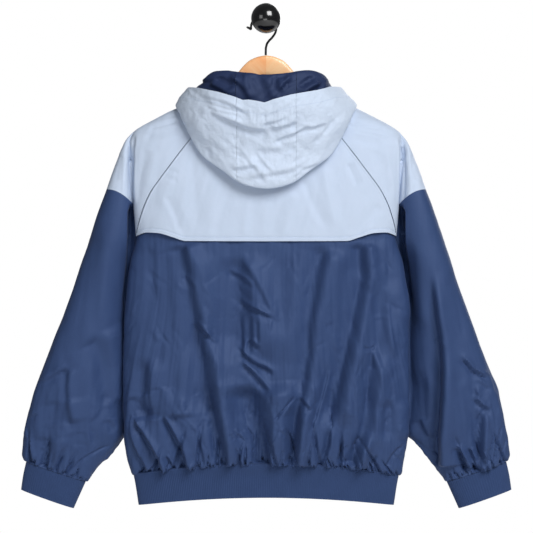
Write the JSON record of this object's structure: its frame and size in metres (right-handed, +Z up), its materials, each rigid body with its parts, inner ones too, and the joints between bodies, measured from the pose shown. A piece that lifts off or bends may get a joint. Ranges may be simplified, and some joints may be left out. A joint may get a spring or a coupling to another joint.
{
  "type": "hooded windbreaker jacket on a coat hanger",
  "caption": "Hooded zip-front windbreaker with raglan shoulders, a storm-flap back yoke and rib cuffs and hem, hung by a wooden hanger from a ball-ended wall peg.",
  "frame": {"origin": "centre of the wall peg's flat face, on the wall", "axes": "+Z up; +Y into the wall, so the jacket's back faces -Y and its front faces the wall; +X to the right of someone who looks at the back"},
  "size_m": [0.8502, 0.1635, 0.873],
  "materials": {
    "navy_shell": "woven synthetic shell, slight sheen",
    "light_blue_shell": "woven synthetic shell, slight sheen",
    "navy_rib": "fine rib knit, matt",
    "navy_lining": "smooth knit lining, matt",
    "zip_tape": "woven zip tape",
    "zip_coil": "moulded coil",
    "zip_metal": "dark plated",
    "hanger_wood": "light wood, satin varnish",
    "black_wire": "black, satin",
    "black_gloss": "black, high gloss"
  },
  "bodies": {
    "jacket": {"back_body": "navy_shell", "back_yoke": "light_blue_shell", "front_body_left": "navy_shell", "front_body_right": "navy_shell", "front_yoke_left": "light_blue_shell", "front_yoke_right": "light_blue_shell", "shoulder_left": "light_blue_shell", "shoulder_right": "light_blue_shell", "sleeve_left": "navy_shell", "sleeve_right": "navy_shell", "cuff_left": "navy_rib", "cuff_right": "navy_rib", "hem_band": "navy_rib", "hood_left": "light_blue_shell", "hood_centre": "light_blue_shell", "hood_right": "light_blue_shell", "lining_left": "navy_lining", "lining_centre": "navy_lining", "lining_right": "navy_lining", "zip_tape_left": "zip_tape", "zip_tape_right": "zip_tape", "zip_chain": "zip_coil", "zip_slider": "zip_metal", "hanger_arm_left": "hanger_wood", "hanger_arm_right": "hanger_wood", "hanger_hook": "black_wire", "peg_plate": "black_gloss", "peg_stem": "black_gloss", "peg_ball": "black_gloss"},
    "pull_tab": {"zip_pull_tab": "zip_metal"}
  },
  "joints": [
    {"name": "pull_tab_hinge", "type": "hinge", "parent": "jacket", "child": "pull_tab", "pos_m": [0, -0.0125, -0.232], "axis": [1, 0, 0], "range_deg": [0, 170]}
  ]
}
